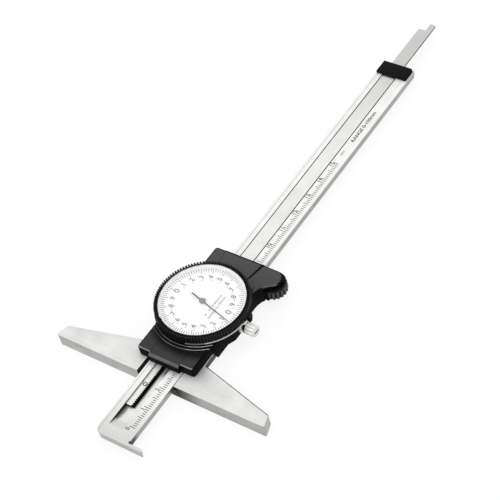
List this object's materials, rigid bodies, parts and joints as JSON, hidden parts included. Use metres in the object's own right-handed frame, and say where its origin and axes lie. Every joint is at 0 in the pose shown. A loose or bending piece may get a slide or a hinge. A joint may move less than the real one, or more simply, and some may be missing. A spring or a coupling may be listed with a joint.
{
  "type": "depth gauge",
  "caption": "Dial depth gauge: a hooked steel beam with engraved scale and depth rod slides through a flat base bar that carries a round dial, plastic covers and a ribbed thumb roller.",
  "frame": {"origin": "on the back face of the slider, straight below the middle of the dial", "axes": "+X towards the thumb roller, +Y along the beam away from the hook, +Z out of the dial"},
  "size_m": [0.1, 0.2504, 0.0163],
  "materials": {
    "ground_steel": "fine ground",
    "screw_steel": "turned",
    "brass": "brushed",
    "cover_plastic": "fine matt grain",
    "black_gloss": "smooth gloss",
    "bright_chrome": "plated",
    "dial_white": "matt paint",
    "rim_grey": "satin",
    "clear_plastic": "polished",
    "pointer_grey": "satin paint",
    "hub_metal": "turned"
  },
  "bodies": {
    "slider": {"base_frame": "ground_steel", "gib_strip": "ground_steel", "gib_screw_front": "screw_steel", "gib_screw_rear": "screw_steel", "depth_rod": "ground_steel", "rod_screw_front": "screw_steel", "rod_screw_rear": "screw_steel", "movement_plate": "brass", "movement_bridge": "brass", "bridge_pillar_a": "brass", "bridge_pillar_b": "brass", "bridge_pillar_c": "brass", "plate_screw_front_left": "screw_steel", "plate_screw_front_right": "screw_steel", "plate_screw_rear_left": "screw_steel", "plate_screw_rear_right": "screw_steel", "cover_left": "cover_plastic", "cover_centre": "cover_plastic", "cover_right": "cover_plastic", "cover_screw_left_front": "screw_steel", "cover_screw_right_front": "screw_steel", "cover_screw_left_rear": "screw_steel", "cover_screw_right_rear": "screw_steel", "roller_axle": "screw_steel", "drive_wheel_pin": "ground_steel", "dial_case": "black_gloss", "case_screw_a": "screw_steel", "case_screw_b": "screw_steel", "case_screw_c": "screw_steel"},
    "beam": {"beam": "ground_steel", "rack": "ground_steel", "rack_screw_front": "screw_steel", "rack_screw_rear": "screw_steel", "end_stop": "cover_plastic", "end_stop_screw_left": "screw_steel", "end_stop_screw_right": "screw_steel"},
    "pinion_train": {"pinion_arbor": "ground_steel", "main_wheel": "brass", "backlash_wheel": "brass", "backlash_spring": "ground_steel"},
    "pointer": {"centre_arbor": "ground_steel", "pointer": "pointer_grey", "pointer_hub": "hub_metal"},
    "thumb_roller": {"thumb_roller": "black_gloss"},
    "drive_wheel": {"drive_wheel": "ground_steel"},
    "bezel": {"bezel": "black_gloss", "face_spring_ring": "ground_steel", "dial_face": "dial_white", "rim_ring": "rim_grey", "crystal": "clear_plastic"},
    "clamp_screw": {"bezel_clamp_screw": "bright_chrome"},
    "clamp_tongue": {"bezel_clamp_tongue": "bright_chrome"}
  },
  "joints": [
    {"name": "beam_slide", "type": "slide", "parent": "slider", "child": "beam", "axis": [0, -1, 0], "range_m": [-0.0285, 0.1205]},
    {"name": "pinion_spin", "type": "hinge", "parent": "slider", "child": "pinion_train", "pos_m": [-0.00036, -0.00791, 0.0075], "axis": [0, 0, 1], "continuous": true},
    {"name": "pointer_spin", "type": "hinge", "parent": "slider", "child": "pointer", "pos_m": [0, 0, 0.012], "axis": [0, 0, 1], "continuous": true},
    {"name": "thumb_roller_spin", "type": "hinge", "parent": "slider", "child": "thumb_roller", "pos_m": [0.0169, 0.024, 0.0068], "axis": [0, 0, 1], "continuous": true},
    {"name": "drive_wheel_spin", "type": "hinge", "parent": "slider", "child": "drive_wheel", "pos_m": [0.00958, 0.024, 0.005], "axis": [0, 0, 1], "continuous": true},
    {"name": "bezel_turn", "type": "hinge", "parent": "slider", "child": "bezel", "pos_m": [0, 0, 0.014], "axis": [0, 0, 1], "continuous": true},
    {"name": "clamp_screw_turn", "type": "hinge", "parent": "slider", "child": "clamp_screw", "pos_m": [0.02, 0, 0.009], "axis": [1, 0, 0], "continuous": true},
    {"name": "clamp_tongue_slide", "type": "slide", "parent": "slider", "child": "clamp_tongue", "axis": [1, 0, 0], "range_m": [0, 0.0004]}
  ],
  "couplings": [
    {"joint": "pinion_spin", "follows": "beam_slide", "rad_per_m": 628.32},
    {"joint": "pointer_spin", "follows": "beam_slide", "rad_per_m": -3141.6},
    {"joint": "drive_wheel_spin", "follows": "beam_slide", "rad_per_m": -645.16},
    {"joint": "thumb_roller_spin", "follows": "beam_slide", "rad_per_m": 178.57},
    {"joint": "clamp_screw_turn", "follows": "clamp_tongue_slide", "rad_per_m": 15708}
  ]
}
